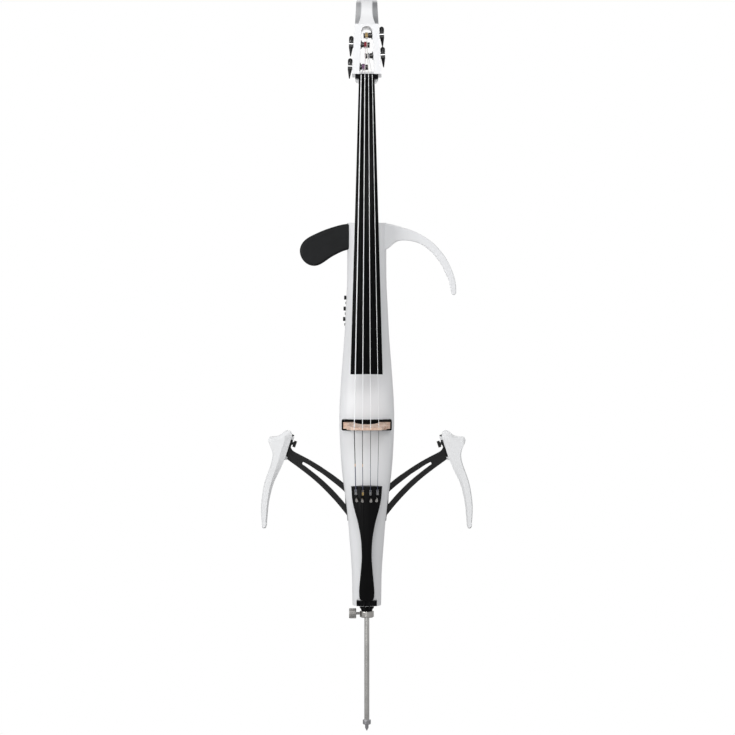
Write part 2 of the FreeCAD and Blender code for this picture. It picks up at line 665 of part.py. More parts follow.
slots = []
screw_ways = []
levers = []
for name, x in STRING_TAIL_X.items():
    face = tail_crown(x)
    slots.append(box("lever_slot_" + name, (x - 1.95, -5, -16.5), (x + 1.95, 20, -5), TAIL))
    slots.append(box("lever_channel_" + name, (x - 1.95, 7.0, -27), (x + 1.95, 20, -5), TAIL))
    hook = box("lever_hook_" + name, (x - 1.6, face - 2.2, -15.5), (x + 1.6, 10.4, -9), TAIL)
    tongue = box("lever_tongue_" + name, (x - 1.6, 7.5, -26), (x + 1.6, 10.4, -5.4), TAIL)
    levers.append(fuse("lever_" + name, hook, tongue))
    screw_x = FINE_SCREW_X[name]
    screw_face = tail_crown(screw_x)
    crossing = Vector(screw_x, screw_face, -20.5)
    inner = crossing - screw_out * ((6.9 - screw_face) / math.cos(math.radians(FINE_SCREW_TILT)))
    screw_ways.append(
        cylinder(
            "screw_way_" + name, cell("fine_screw_shaft", 1, 0.06), 20, inner - screw_out * 1.5, screw_out, TAIL
        )
    )
    reach = (crossing - inner).Length + 2.8
    shank = cylinder("fine_shank_" + name, cell("fine_screw_shaft"), reach, inner, screw_out, TAIL)
    head_at = crossing + screw_out * 2.2
    head = cylinder("fine_head_" + name, cell("fine_screw_head"), 9.5, head_at, screw_out, TAIL)
    node(fuse("fine_screw_solid_" + name, shank, head), "fine_tuner_screw_" + name)
node(
    cut("tailpiece_cut", common("tailpiece_common", tail_slab, tail_camber), *(slots + screw_ways)),
    "tailpiece",
)
node(group("lever_group", *levers), "fine_tuner_levers")

# ---------------------------------------------------------------- lower end
saddle_blank = box("saddle_blank", (-20, -33, 253.2), (20, -14, 263.6))
node(cut("saddle_cut", saddle_blank, hull), "saddle")

cords = [
    wire_path(
        "tail_cord_%d" % i,
        [Vector(x, -33.0, 275), Vector(x, -34.4, 262), Vector(x, -34.4, 247.2), Vector(x, -13.0, 246.6)],
        1.3,
    )
    for i, x in enumerate((-5, 5))
]
node(group("tail_cord_group", *cords), "tail_cord")

plug_foot = cone("plug_foot", 11.0, 12.4, 4.6, (0, 0, 239.95))
plug_flange = cylinder("plug_flange", 14.0, 6.5, (0, 0, 244.5))
plug_bore = cylinder("plug_bore", "Dimensions.rod_radius + Dimensions.endpin_fit", 14, (0, 0, 238))
node(cut("plug_cut", fuse("plug_blank", plug_foot, plug_flange), plug_bore), "end_plug")

tube = cylinder("tube_blank", cell("tube_radius", 1, -0.05), 305, (0, 0, 251.05))
tube_bore = cylinder("tube_bore_cutter", cell("tube_bore"), 310, (0, 0, 250))
node(cut("tube_cut", tube, tube_bore), "endpin_tube")

CLAMP_Z = 234.0
collar_blank = cylinder("collar_blank", cell("collar_radius"), 13.4, (0, 0, 226.4))
collar_round = rounded(
    "collar_rounded", collar_blank, 2.2, lambda edge: edge.BoundBox.ZLength < 0.01 and edge.Length > 60
)
collar_bore = cylinder("collar_bore", "Dimensions.rod_radius + Dimensions.endpin_fit", 17, (0, 0, 225))
clamp_way = cylinder("clamp_way", cell("clamp_shaft_radius", 1, 0.05), 20, (-20, 0, CLAMP_Z), X_AXIS)
node(cut("collar_cut", collar_round, collar_bore, clamp_way), "endpin_collar")

clamp_knob = cylinder("clamp_knob", cell("clamp_knob_radius"), 14, (-35, 0, CLAMP_Z), X_AXIS)
clamp_edge = rounded("clamp_knob_edge", clamp_knob, 1.0, lambda edge: edge.BoundBox.XLength < 0.01)
grooves = []
for i in range(20):
    angle = math.radians(i * 18)
    grooves.append(
        cylinder(
            "knurl_%02d" % i, 0.8, 20,
            (-38, 10.2 * math.cos(angle), CLAMP_Z + 10.2 * math.sin(angle)), X_AXIS,
        )
    )
clamp_shaft = cylinder("clamp_shaft", cell("clamp_shaft_radius"), 16.5, (-22, 0, CLAMP_Z), X_AXIS)
node(fuse("clamp_screw", cut("clamp_knurled", clamp_edge, *grooves), clamp_shaft), "endpin_clamp_screw")

rod = cylinder("rod", cell("rod_radius"), cell("rod_top", 1, -14.5), (0, 0, 14.5))
node(rod, "endpin_rod")
ferrule = cylinder("ferrule_blank", 8.0, 9.8, (0, 0, 12.8))
ferrule_round = rounded(
    "ferrule_rounded", ferrule, 2.0, lambda edge: edge.BoundBox.ZLength < 0.01 and edge.Length > 30
)
ferrule_bore = cylinder("ferrule_bore", cell("rod_radius", 1, 0.02), 10, (0, 0, 14.4))
spike_body = cylinder("spike_body", 3.5, 8, (0, 0, 6))
spike_point = cone("spike_point", 0.5, 3.5, 6, (0, 0, 0))
node(fuse("endpin_tip_solid", cut("ferrule_cut", ferrule_round, ferrule_bore), spike_body, spike_point), "endpin_tip")

# ---------------------------------------------------------------- strings
BRIDGE_CROWN = FOOT_Y - size("bridge_height")
BRIDGE_ARC = 65.0
NUT_ARC = 63.0
STRINGS = {
    "c": (-10.8, -23.6, "string_c", 1.2),
    "g": (-3.6, -7.9, "string_g", 1.05),
    "d": (3.6, 7.9, "string_d", 0.95),
    "a": (10.8, 23.6, "string_a", 0.85),
}


def sag(x, arc):
    return arc - math.sqrt(arc ** 2 - x ** 2)


for name, side, post_z, wall, winding_x, barrel in TUNERS:
    nut_x, bridge_x, radius_name, winding_tube = STRINGS[name]
    frame = tuner_frame(side, post_z, wall)
    waist_at = -(wall - side * winding_x)
    winding_ring = size("post_waist") + 0.35 + winding_tube
    front = frame.multVec(Vector(waist_at, -winding_ring * side, 0))
    at_nut = NECK.multVec(Vector(nut_x, -1.0 + sag(nut_x, NUT_ARC), 6))
    at_bridge = Vector(bridge_x, BRIDGE_CROWN + sag(bridge_x, BRIDGE_ARC) + 0.2, CREST_Z)
    tail_x = STRING_TAIL_X[name]
    at_lever = TAIL.multVec(Vector(tail_x, tail_crown(tail_x) - 1.0, -11))
    cord = wire_path("string_path_" + name, [front, at_nut, at_bridge, at_lever], cell(radius_name))
    turns = [
        torus(
            "winding_%s_%d" % (name, i), winding_ring, winding_tube,
            (waist_at + step * 1.7 * winding_tube, 0, 0), X_AXIS, frame,
        )
        for i, step in enumerate((-1, 0, 1))
    ]
    node(fuse("string_solid_" + name, cord, *turns), "string_" + name)

# ---------------------------------------------------------------- upper shell and upper arm
shell_runs = [
    [(-34, 1002.3), (-44.8, 1001.2), (-67.4, 995.4), (-84.7, 989.4), (-98.3, 983.5), (-110.4, 977.6),
     (-120.3, 971), (-127.5, 962.5), (-131.1, 951), (-129.5, 939.5), (-123, 928.8), (-112, 921.4),
     (-100, 920), (-88.2, 924.5), (-70.5, 936.5), (-60.3, 942.2), (-47.8, 948.1), (-34, 952)],
    [(-34, 952), (-34, 1002.3)],
]
shell_slab = extrude(
    "shell_slab", outline("shell_outline", shell_runs, UPRIGHT), Y_AXIS,
    cell("wing_depth", 0.5), cell("wing_depth", 0.5)
)
shell_soft = rounded(
    "shell_soft", shell_slab, 5.0,
    lambda edge: flat_in_y(edge) and edge.BoundBox.XLength > 5 and edge.CenterOfMass.y < 0,
)
node(cut("shell_cut", shell_soft, hull), "upper_left_shell")

arm_runs = [
    [(33, 1003), (47.6, 1001.2), (67.2, 995.8), (86.9, 989.8), (106.5, 980.5), (126.2, 967.8),
     (145.8, 947.7), (155.6, 934), (165.5, 914.1), (171.4, 898), (174.6, 882), (175, 870)],
    [(175, 870), (173.6, 864.8), (170.2, 862.8), (166.8, 864.6), (165, 869)],
    [(165, 869), (163, 880), (160.3, 892), (154.5, 904.5), (145.8, 922.8), (136, 936.3), (126.2, 947.3),
     (116.3, 955.6), (106.5, 962), (96.7, 966), (86.9, 968.4), (77, 969.5), (67.2, 969.3), (57.4, 966.5),
     (47.6, 958.8), (33, 950)],
    [(33, 950), (33, 1003)],
]
arm_slab = extrude(
    "upper_arm_slab", outline("upper_arm_outline", arm_runs, UPRIGHT), Y_AXIS,
    cell("wing_depth", 0.5), cell("wing_depth", 0.5)
)
arm_soft = rounded(
    "upper_arm_soft", arm_slab, 2.4, lambda edge: flat_in_y(edge) and edge.BoundBox.XLength > 1,
)
node(cut("upper_arm_cut", arm_soft, hull), "upper_right_arm")

# ---------------------------------------------------------------- knee rests, left side then mirrored
HINGE_Y = 19.0
BODY_HINGE_LOW = Vector(-33.8, HINGE_Y, 416)
BODY_HINGE_HIGH = Vector(-42.6, HINGE_Y, 504)
CLAW_HINGE_LOW = Vector(-163.9, HINGE_Y, 537.0)
CLAW_HINGE_HIGH = Vector(-147.8, HINGE_Y, 584.4)


def hinge_frame(low, high):
    return Placement(low, Rotation(Z_AXIS, high - low))


BODY_HINGE = hinge_frame(BODY_HINGE_LOW, BODY_HINGE_HIGH)
CLAW_HINGE = hinge_frame(CLAW_HINGE_LOW, CLAW_HINGE_HIGH)
BODY_HINGE_LENGTH = (BODY_HINGE_HIGH - BODY_HINGE_LOW).Length
CLAW_HINGE_LENGTH = (CLAW_HINGE_HIGH - CLAW_HINGE_LOW).Length

plate_runs = [
    [(-153.5, 572.5), (-150.2, 561), (-147, 555.5), (-140.1, 550.8), (-128.5, 544.8), (-111.6, 535.7),
     (-99.8, 528.6), (-88, 521.1), (-76.2, 513), (-64.5, 505), (-52.7, 495.8), (-42, 487)],
    [(-42, 487), (-35.6, 425.2)],
    [(-35.6, 425.2), (-38.2, 425.2)],
    [(-38.2, 425.2), (-41.2, 429), (-52.7, 443.4), (-64.5, 457.2), (-76.2, 469.8), (-88, 481.8), (-99.8, 492.8),
     (-111.6, 503), (-123.4, 512.3), (-135.2, 521.3), (-151.5, 533.2), (-161.5, 540.5)],
    [(-161.5, 540.5), (-153.5, 572.5)],
]
slot_runs = [
    [(-126, 532.5), (-111.6, 524.5), (-99.8, 516.6), (-88, 509), (-76.2, 500), (-64.5, 490.9),
     (-52.7, 481.2), (-43.4, 472.8)],
    [(-43.4, 472.8), (-42.4, 448.6)],
    [(-42.4, 448.6), (-52.7, 460.9), (-64.5, 473.9), (-76.2, 485.7), (-88, 496.6), (-99.8, 506.6),
     (-111.6, 516), (-124, 525.5)],
    [(-124, 525.5), (-127.6, 528.6), (-126, 532.5)],
]
arm_plate = extrude(
    "arm_plate", outline("arm_plate_outline", plate_runs, UPRIGHT, offset=Vector(0, HINGE_Y, 0)), Y_AXIS,
    cell("arm_plate", 0.5), cell("arm_plate", 0.5)
)
arm_slot = extrude(
    "arm_slot", outline("arm_slot_outline", slot_runs, UPRIGHT, offset=Vector(0, HINGE_Y, 0)), Y_AXIS, 9, 9
)
claw_side_barrel = cylinder(
    "arm_claw_barrel", cell("claw_barrel"), CLAW_HINGE_LENGTH - 16, (0, 0, 8), frame=CLAW_HINGE
)
body_side_barrel = cylinder(
    "arm_body_barrel", cell("arm_barrel"), BODY_HINGE_LENGTH - 13, (0, 0, 6.5), frame=BODY_HINGE
)
claw_side_bore = cylinder(
    "arm_claw_bore", "Dimensions.hinge_pin + 0.02", CLAW_HINGE_LENGTH, (0, 0, 0), frame=CLAW_HINGE
)
body_side_bore = cylinder(
    "arm_body_bore", "Dimensions.body_pin + Dimensions.hinge_fit", BODY_HINGE_LENGTH, (0, 0, 0), frame=BODY_HINGE
)
CLAW_AXIS = (CLAW_HINGE_HIGH - CLAW_HINGE_LOW).normalize()
LOCK_AXIS = Vector(CLAW_AXIS.z, 0, -CLAW_AXIS.x)
LOCK_ALONG = 42.0
LOCK_CENTRE = CLAW_HINGE_LOW + CLAW_AXIS * 36.0
boss = cylinder("arm_lock_boss", 3.6, 5.8, LOCK_CENTRE, LOCK_AXIS)
lock_way = cylinder("arm_lock_way", 1.56, 12, LOCK_CENTRE + LOCK_AXIS * 2.0, LOCK_AXIS)
ear_room = [
    cylinder("arm_ear_room_%d" % i, 6.0, 8.0 + extra, (0, 0, start), frame=CLAW_HINGE)
    for i, (start, extra) in enumerate([(0, -0.3), (CLAW_HINGE_LENGTH - 7.7, 2)])
]
plate_cleared = cut("arm_plate_cleared", arm_plate, arm_slot, *ear_room)
arm_left = cut(
    "knee_arm_solid",
    fuse("knee_arm_body", plate_cleared, claw_side_barrel, body_side_barrel, boss),
    claw_side_bore, body_side_bore, lock_way,
)
node(arm_left, "knee_arm_left")
node(mirror("knee_arm_mirrored", arm_left), "knee_arm_right")

pin_shaft = cylinder("claw_pin_shaft", cell("hinge_pin"), CLAW_HINGE_LENGTH + 0.5, (0, 0, -0.2), frame=CLAW_HINGE)
pin_head = cylinder("claw_pin_head", 4.0, 2.2, (0, 0, CLAW_HINGE_LENGTH + 0.3), frame=CLAW_HINGE)
pin_left = fuse("claw_pin_solid", pin_shaft, pin_head)
node(pin_left, "claw_pin_left")
node(mirror("claw_pin_mirrored", pin_left), "claw_pin_right")

lock_shaft = cylinder("lock_shaft", 1.5, 9, LOCK_CENTRE + LOCK_AXIS * 2.8, LOCK_AXIS)
LOCK = Placement(LOCK_CENTRE, Rotation(Z_AXIS, LOCK_AXIS))
lock_hub = cylinder("lock_hub", 3.4, 2.4, (0, 0, 6.1), frame=LOCK)
lock_wing = box("lock_wing", (-6.5, -1.6, 7.4), (6.5, 1.6, 13.2), LOCK)
lock_wing_soft = rounded("lock_wing_soft", lock_wing, 1.2, lambda edge: edge.Length > 5)
lock_left = fuse("lock_solid", lock_shaft, lock_hub, lock_wing_soft)
node(lock_left, "claw_lock_left")
node(mirror("lock_mirrored", lock_left), "claw_lock_right")

claw_runs = [
    [(-148.2, 590), (-151, 593.6), (-156, 595.2), (-161, 593.8), (-166, 589.9), (-171, 586.3), (-178, 583.9),
     (-185, 583.2), (-190.8, 583)],
    [(-190.8, 583), (-194.2, 578.4), (-192.8, 570.8), (-188.6, 561), (-186, 551.5), (-186.4, 541),
     (-188.6, 531.5), (-195.5, 511.9), (-202, 492.2), (-205.9, 472.6), (-208.3, 453), (-208.6, 433.3),
     (-207.2, 414)],
    [(-207.2, 414), (-206.7, 405.4), (-205.2, 402.9), (-202.6, 402.2), (-199.9, 402.9), (-198.4, 405.4),
     (-197.6, 414)],
    [(-197.6, 414), (-195.9, 433.3), (-193.6, 453), (-189.4, 472.6), (-183.5, 492.2), (-174.1, 511.9),
     (-166.5, 528.5), (-161.3, 541.2)],
    [(-161.3, 541.2), (-147.6, 584)],
    [(-147.6, 584), (-148.2, 590)],
]
claw_face_runs = [
    [(-160.5, 586), (-164, 583.4), (-169, 580.2), (-175, 577.8), (-182, 576.4), (-188.4, 575.6)],
    [(-188.4, 575.6), (-190.7, 572), (-190, 566.5), (-186.4, 558.5), (-184, 550.5), (-184.4, 541),
     (-186.6, 531.5), (-193.4, 512.3), (-199.9, 492.8), (-203.9, 472.8), (-206.3, 453), (-206.8, 433.3),
     (-205.5, 414)],
    [(-205.5, 414), (-205.0, 406.6), (-202.6, 404.4), (-200.2, 406.6), (-199.4, 414)],
    [(-199.4, 414), (-198.2, 433.3), (-196.4, 453), (-193.4, 472.6), (-188.9, 492.2), (-182.6, 511.9),
     (-177.6, 526), (-173.4, 541.2)],
    [(-173.4, 541.2), (-160.6, 582)],
    [(-160.6, 582), (-160.5, 586)],
]
BEVEL_Y = HINGE_Y - 17.0
claw_slab = extrude(
    "claw_slab", outline("claw_outline", claw_runs, UPRIGHT, offset=Vector(0, HINGE_Y, 0)), -Y_AXIS,
    cell("claw_depth", 1, -6)
)
claw_bevels = doc.addObject("Part::Loft", "claw_bevels")
claw_bevels.Sections = [
    outline("claw_bevel_foot", claw_runs, UPRIGHT, offset=Vector(0, BEVEL_Y, 0)),
    outline("claw_bevel_face", claw_face_runs, UPRIGHT, offset=Vector(0, BEVEL_Y - 6.0, 0)),
]
claw_bevels.Solid = True
claw_bevels.Ruled = True
claw_soft = fuse("claw_soft", claw_slab, claw_bevels)
barrel_room = cylinder(
    "claw_barrel_room", cell("claw_barrel", 1, 0.4), CLAW_HINGE_LENGTH - 15, (0, 0, 7.5), frame=CLAW_HINGE
)
head_room = cylinder("claw_head_room", 4.4, 20, (0, 0, CLAW_HINGE_LENGTH), frame=CLAW_HINGE)
ears = [
    cylinder("claw_ear_%d" % i, 5.0, 6.4, (0, 0, start), frame=CLAW_HINGE)
    for i, start in enumerate((1.0, CLAW_HINGE_LENGTH - 7.4))
]
claw_bore = cylinder(
    "claw_bore", "Dimensions.hinge_pin + Dimensions.hinge_fit", CLAW_HINGE_LENGTH + 10, (0, 0, -5), frame=CLAW_HINGE
)
claw_left = cut(
    "claw_solid", fuse("claw_body", cut("claw_cleared", claw_soft, barrel_room), *ears), claw_bore, head_room
)
node(claw_left, "knee_claw_left")
node(mirror("claw_mirrored", claw_left), "knee_claw_right")

bracket_plate = box("bracket_plate", (-29, 20.05, 411), (-14, 23.5, 509))
bracket_parts = [bracket_plate]
for i, start in enumerate((0.0, BODY_HINGE_LENGTH - 6.0)):
    bracket_parts.append(cylinder("bracket_ear_%d" % i, cell("arm_barrel"), 6.0, (0, 0, start), frame=BODY_HINGE))
    level = BODY_HINGE_LOW.z + start
    bracket_parts.append(box("bracket_link_%d" % i, (-42 if i else -35, 20.3, level + 0.6), (-20, 23.5, level + 5.2)))
bracket_pin = cylinder("bracket_pin", cell("body_pin"), BODY_HINGE_LENGTH - 1, (0, 0, 0.5), frame=BODY_HINGE)
bracket_left = fuse("bracket_solid", bracket_pin, *bracket_parts)
bracket_right = mirror("bracket_mirrored", bracket_left)
node(group("bracket_group", bracket_left, bracket_right), "arm_hinge_brackets")

# ---------------------------------------------------------------- checks and files
doc.recompute()
faults = []
for feature in doc.Objects:
    if "Invalid" in feature.State or "Error" in feature.State:
        faults.append("%s is %s" % (feature.Name, feature.State))
for feature in nodes:
    shape = feature.Shape
    if shape.isNull() or not shape.isValid():
        faults.append("%s has no valid shape" % feature.Label)
    elif not shape.Solids:
        faults.append("%s has no solid" % feature.Label)
if faults:
    raise RuntimeError("; ".join(faults))

os.makedirs("parts", exist_ok=True)
for feature in nodes:
    feature.Shape.exportStep("parts/%s.step" % feature.Label)
    print("%-22s solids %d volume %.0f" % (feature.Label, len(feature.Shape.Solids), feature.Shape.Volume))
print(len(nodes), "nodes")
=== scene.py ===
import json
import math

import bpy
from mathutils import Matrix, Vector


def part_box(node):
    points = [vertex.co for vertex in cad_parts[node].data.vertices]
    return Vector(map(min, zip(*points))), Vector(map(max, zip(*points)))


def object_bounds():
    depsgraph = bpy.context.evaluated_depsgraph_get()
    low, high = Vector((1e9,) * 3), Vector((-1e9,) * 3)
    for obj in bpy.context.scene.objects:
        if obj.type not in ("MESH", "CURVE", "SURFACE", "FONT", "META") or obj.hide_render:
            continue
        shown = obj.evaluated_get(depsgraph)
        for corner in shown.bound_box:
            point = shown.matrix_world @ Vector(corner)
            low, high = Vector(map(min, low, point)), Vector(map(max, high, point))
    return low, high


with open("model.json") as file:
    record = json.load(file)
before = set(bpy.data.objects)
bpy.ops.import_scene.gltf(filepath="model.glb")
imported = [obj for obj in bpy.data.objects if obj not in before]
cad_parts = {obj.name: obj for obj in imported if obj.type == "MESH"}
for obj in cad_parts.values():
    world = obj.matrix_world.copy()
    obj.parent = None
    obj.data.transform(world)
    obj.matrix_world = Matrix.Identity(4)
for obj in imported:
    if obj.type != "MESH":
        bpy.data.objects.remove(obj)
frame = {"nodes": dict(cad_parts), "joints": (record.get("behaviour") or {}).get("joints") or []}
CAD_BOX = [list(corner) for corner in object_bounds()]
NODES = frame["nodes"]
JOINTS = {j["name"]: j for j in frame["joints"]}
scene = bpy.context.scene


# ------------------------------------------------------------------ shader helpers
class Shader:
    """Builds one node material around a Principled shader, in the object's own coordinates in metres."""

    def __init__(self, name, colour, roughness, metallic=0.0, **constants):
        self.material = bpy.data.materials.new(name)
        self.material.use_nodes = True
        self.tree = self.material.node_tree
        self.surface = self.tree.nodes["Principled BSDF"]
        self.surface.inputs["Base Color"].default_value = (*colour, 1)
        self.surface.inputs["Roughness"].default_value = roughness
        self.surface.inputs["Metallic"].default_value = metallic
        for key, value in constants.items():
            self.surface.inputs[key.replace("_", " ")].default_value = value
        self.material.diffuse_color = (*colour, 1)
        self.place = self.add("ShaderNodeTexCoord").outputs["Object"]

    def add(self, kind, **settings):
        node = self.tree.nodes.new(kind)
        for key, value in settings.items():
            setattr(node, key, value)
        return node

    def feed(self, socket, value):
        if hasattr(value, "is_output"):
            self.tree.links.new(value, socket)
        else:
            socket.default_value = value

    def stretched(self, scale=(1, 1, 1), turn=(0, 0, 0)):
        node = self.add("ShaderNodeMapping")
        self.feed(node.inputs["Vector"], self.place)
        node.inputs["Scale"].default_value = scale
        node.inputs["Rotation"].default_value = [math.radians(a) for a in turn]
        return node.outputs[0]

    def noise(self, scale, detail=3.0, vector=None, roughness=0.5, distortion=0.0):
        node = self.add("ShaderNodeTexNoise")
        self.feed(node.inputs["Vector"], vector or self.place)
        node.inputs["Scale"].default_value = scale
        node.inputs["Detail"].default_value = detail
        node.inputs["Roughness"].default_value = roughness
        node.inputs["Distortion"].default_value = distortion
        return node.outputs["Fac"]

    def cells(self, scale):
        node = self.add("ShaderNodeTexVoronoi")
        self.feed(node.inputs["Vector"], self.place)
        node.inputs["Scale"].default_value = scale
        return node.outputs["Distance"]

    def bands(self, scale, vector=None, direction="Z"):
        node = self.add("ShaderNodeTexWave", wave_type="BANDS", bands_direction=direction)
        self.feed(node.inputs["Vector"], vector or self.place)
        node.inputs["Scale"].default_value = scale
        node.inputs["Detail Scale"].default_value = 1.5
        return node.outputs["Fac"]

    def maths(self, operation, a, b=0.0):
        node = self.add("ShaderNodeMath", operation=operation)
        self.feed(node.inputs[0], a)
        self.feed(node.inputs[1], b)
        return node.outputs[0]

    def span(self, value, low, high, to_low=0.0, to_high=1.0):
        node = self.add("ShaderNodeMapRange", clamp=True)
        self.feed(node.inputs["Value"], value)
        for key, number in zip(("From Min", "From Max", "To Min", "To Max"), (low, high, to_low, to_high)):
            node.inputs[key].default_value = number
        return node.outputs[0]

    def ramp(self, value, *stops):
        node = self.add("ShaderNodeValToRGB")
        self.feed(node.inputs["Fac"], value)
        elements = node.color_ramp.elements
        while len(elements) < len(stops):
            elements.new(0.5)
        for element, (position, colour) in zip(elements, stops):
            element.position = position
            element.color = (*colour, 1)
        return node.outputs["Color"]

    def mix(self, factor, a, b):
        node = self.add("ShaderNodeMix", data_type="RGBA")
        self.feed(node.inputs["Factor"], factor)
        for socket, value in ((node.inputs[6], a), (node.inputs[7], b)):
            self.feed(socket, (*value, 1) if isinstance(value, tuple) else value)
        return node.outputs[2]

    def along(self, origin, axis):
        """Distance along an axis from an origin, in metres."""
        shift = self.add("ShaderNodeVectorMath", operation="SUBTRACT")
        self.feed(shift.inputs[0], self.place)
        shift.inputs[1].default_value = origin
        dot = self.add("ShaderNodeVectorMath", operation="DOT_PRODUCT")
        self.tree.links.new(shift.outputs[0], dot.inputs[0])
        dot.inputs[1].default_value = axis
        return dot.outputs["Value"]

    def facing(self, axis):
        """How squarely the surface faces along an axis, from 0 edge-on to 1."""
        dot = self.add("ShaderNodeVectorMath", operation="DOT_PRODUCT")
        self.tree.links.new(self.place.node.outputs["Normal"], dot.inputs[0])
        dot.inputs[1].default_value = axis
        return dot.outputs["Value"]

    def xyz(self):
        """The object's own x, y and z, in metres."""
        split = self.add("ShaderNodeSeparateXYZ")
        self.feed(split.inputs[0], self.place)
        return split.outputs

    def colour(self, value):
        self.feed(self.surface.inputs["Base Color"], value)

    def rough(self, value, low, high):
        self.feed(self.surface.inputs["Roughness"], self.span(value, 0.3, 0.7, low, high))

    def bump(self, value, distance, strength=1.0, under=None):
        node = self.add("ShaderNodeBump")
        node.inputs["Strength"].default_value = strength
        node.inputs["Distance"].default_value = distance
        self.feed(node.inputs["Height"], value)
        if under is not None:
            self.feed(node.inputs["Normal"], under)
        self.feed(self.surface.inputs["Normal"], node.outputs[0])
        return node.outputs[0]


# a point on the nut's front at its foot, and the way the neck's front faces
NUT_FRONT = Vector((0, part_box("nut")[0].y, 1.283))
NECK_FRONT = Vector((0, -0.9946, 0.1037))


def pearl_lacquer(name, colour=(0.86, 0.865, 0.875), roughness=(0.34, 0.46), painted_shade_depth=None, gloss=0.4):
    """White pearl lacquer: fine flake, soft clouds, orange peel under a clear coat.

    The optional depth range behind the neck's front, from and to, is where painted shade greys the scroll's
    recessed cheeks, lighter on the left than on the right.
    """
    s = Shader(name, colour, 0.25, Coat_Weight=gloss * 1.25, Coat_Roughness=0.24, Specular_IOR_Level=gloss)
    cloud = s.noise(7, 4)
    flake = s.cells(5200)
    tone = s.mix(s.span(cloud, 0.3, 0.7), colour, scaled(colour, 0.965))
    shine = s.ramp(flake, (0.0, (1.0, 1.0, 1.0)), (0.22, (0.985, 0.985, 0.99)), (1.0, (0.955, 0.96, 0.97)))
    node = s.add("ShaderNodeMix", data_type="RGBA", blend_type="MULTIPLY")
    node.inputs["Factor"].default_value = 1.0
    s.feed(node.inputs[6], tone)
    s.feed(node.inputs[7], shine)
    # painted shade: the scroll's recessed cheeks either side of the rib are painted grey, lighter on the
    # left and darker on the right, as if lit from the left
    if painted_shade_depth:
        depth = s.span(s.along(NUT_FRONT, -NECK_FRONT), *painted_shade_depth)
        depth = s.maths("MULTIPLY", depth, s.span(s.facing(NECK_FRONT), 0.75, 0.92))
        across = s.xyz()[0]
        beside = s.span(s.maths("ABSOLUTE", across), 0.0095, 0.0125)
        shade = s.mix(s.span(across, -0.022, 0.022), (0.33, 0.335, 0.345), (0.25, 0.255, 0.265))
        s.colour(s.mix(s.maths("MULTIPLY", depth, beside), node.outputs[2], shade))
    else:
        s.colour(node.outputs[2])
    s.rough(s.noise(60, 3), *roughness)
    peel = s.bump(s.noise(420, 2), 0.00004, 0.35)
    s.bump(s.noise(38, 3), 0.0002, 0.12, peel)
    return s.material


def moulded(name, colour, roughness=(0.42, 0.55), grain=1900, depth=0.00003, shine=0.35):
    """Moulded plastic with a fine spark-eroded grain and slightly rubbed highlights."""
    s = Shader(name, colour, 0.5, Specular_IOR_Level=shine)
    cloud = s.noise(26, 4)
    fine = s.noise(grain, 3)
    s.colour(s.mix(s.span(cloud, 0.3, 0.7), scaled(colour, 0.8), scaled(colour, 1.25)))
    s.rough(s.noise(90, 5), *roughness)
    s.bump(fine, depth, 0.6)
    return s.material


def polished_black(name, colour, roughness, streak, coat=0.5):
    """Polished black with a faint long grain, as ebony has."""
    s = Shader(name, colour, 0.2, Coat_Weight=coat, Coat_Roughness=0.08, Specular_IOR_Level=0.04)
    grain = s.noise(streak, 6, s.stretched((60, 60, 1.6)))
    s.colour(s.ramp(grain, (0.35, scaled(colour, 0.55)), (0.62, scaled(colour, 1.7))))
    s.rough(s.noise(40, 4, s.stretched((8, 8, 1))), *roughness)
    s.bump(grain, 0.00003, 0.3)
    return s.material


def drawn_metal(name, colour, roughness, scale=(1, 1, 40), bump=0.00002, polish=900):
    """Metal with tool marks that run round or along the piece, and a light haze of handling."""
    s = Shader(name, colour, 0.3, 1.0)
    marks = s.noise(polish, 5, s.stretched(scale), 0.65)
    haze = s.noise(45, 4)
    s.colour(s.mix(s.span(haze, 0.3, 0.7), scaled(colour, 0.86), scaled(colour, 1.08)))
    s.rough(s.maths("ADD", s.maths("MULTIPLY", marks, 0.6), s.maths("MULTIPLY", haze, 0.4)), *roughness)
    s.bump(marks, bump, 0.4)
    return s.material


def scaled(colour, factor):
    return tuple(c * factor for c in colour)


def give(material, *names):
    for name in names:
        data = NODES[name].data
        data.materials.clear()
        data.materials.append(material)
        for polygon in data.polygons:
            polygon.material_index = 0


def soften(width, *names):
    """Rounds the sharp edges of a CAD node with modifiers, as moulding and lacquer do."""
    for name in names:
        piece = NODES[name]
        weld = piece.modifiers.new("join", "WELD")
        weld.merge_threshold = 1e-6
        bevel = piece.modifiers.new("edges", "BEVEL")
        bevel.width = width
        bevel.segments = 2
        bevel.limit_method = "ANGLE"
        bevel.angle_limit = math.radians(32)
        bevel.use_clamp_overlap = True
        bevel.harden_normals = True


# ------------------------------------------------------------------ materials
white = pearl_lacquer("pearl_white_lacquer")
white_part = pearl_lacquer("pearl_white_moulding", (0.85, 0.855, 0.862), (0.36, 0.48))
# the scroll's lacquer has painted shade in its recessed cheeks
scroll_white_painted_shade = pearl_lacquer("pearl_white_scroll_painted_shade", (0.85, 0.852, 0.86), painted_shade_depth=(0.0025, 0.0060))
give(white, "body", "neck", "pegbox", "upper_right_arm")
give(scroll_white_painted_shade, "scroll")
give(white_part, "rear_cover", "battery_door")
claw_white = pearl_lacquer("pearl_white_claw", (0.87, 0.875, 0.88), (0.45, 0.55), gloss=0.15)
give(claw_white, "knee_claw_left", "knee_claw_right")

ebony = polished_black("fingerboard_black", (0.0025, 0.0025, 0.0027), (0.22, 0.34), 9, 0.0)
nut_black = polished_black("nut_black", (0.004, 0.004, 0.0045), (0.25, 0.4), 14, 0.02)
give(ebony, "fingerboard")
give(nut_black, "nut", "saddle")

